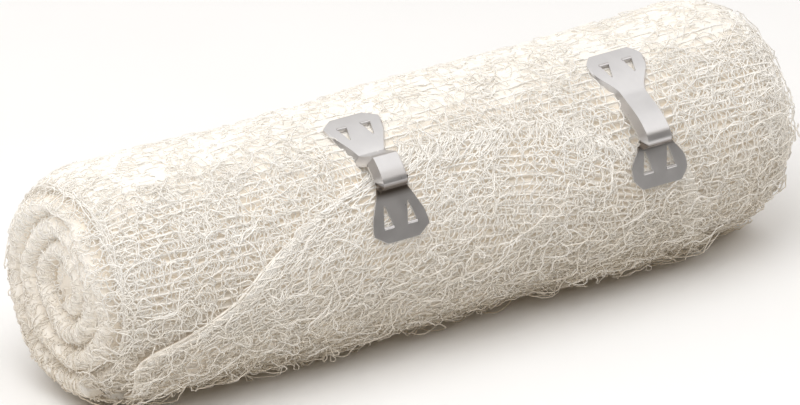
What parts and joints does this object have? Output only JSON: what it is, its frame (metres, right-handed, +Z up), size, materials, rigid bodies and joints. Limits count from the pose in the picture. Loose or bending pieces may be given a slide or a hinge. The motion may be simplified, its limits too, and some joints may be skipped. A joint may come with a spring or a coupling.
{
  "type": "crepe bandage roll",
  "caption": "Rolled-up cotton crepe bandage lying on its side, its tapering loose end laid up the front and held by bent metal bandage clips.",
  "frame": {"origin": "centre of the outline's footprint, at the level the roll rests on", "axes": "+X along the roll, from the end whose face shows in the picture towards the other end; +Y towards the back, so the loose end and the clips are on the -Y side; +Z up"},
  "size_m": [0.1498, 0.0462, 0.044],
  "materials": {
    "cotton_crepe": "unbleached cotton crepe, matt and fluffy",
    "clip_metal": "satin tinplate"
  },
  "bodies": {
    "root": {"roll": "cotton_crepe", "loose_end": "cotton_crepe", "clip_near": "clip_metal", "clip_far": "clip_metal"}
  },
  "joints": []
}
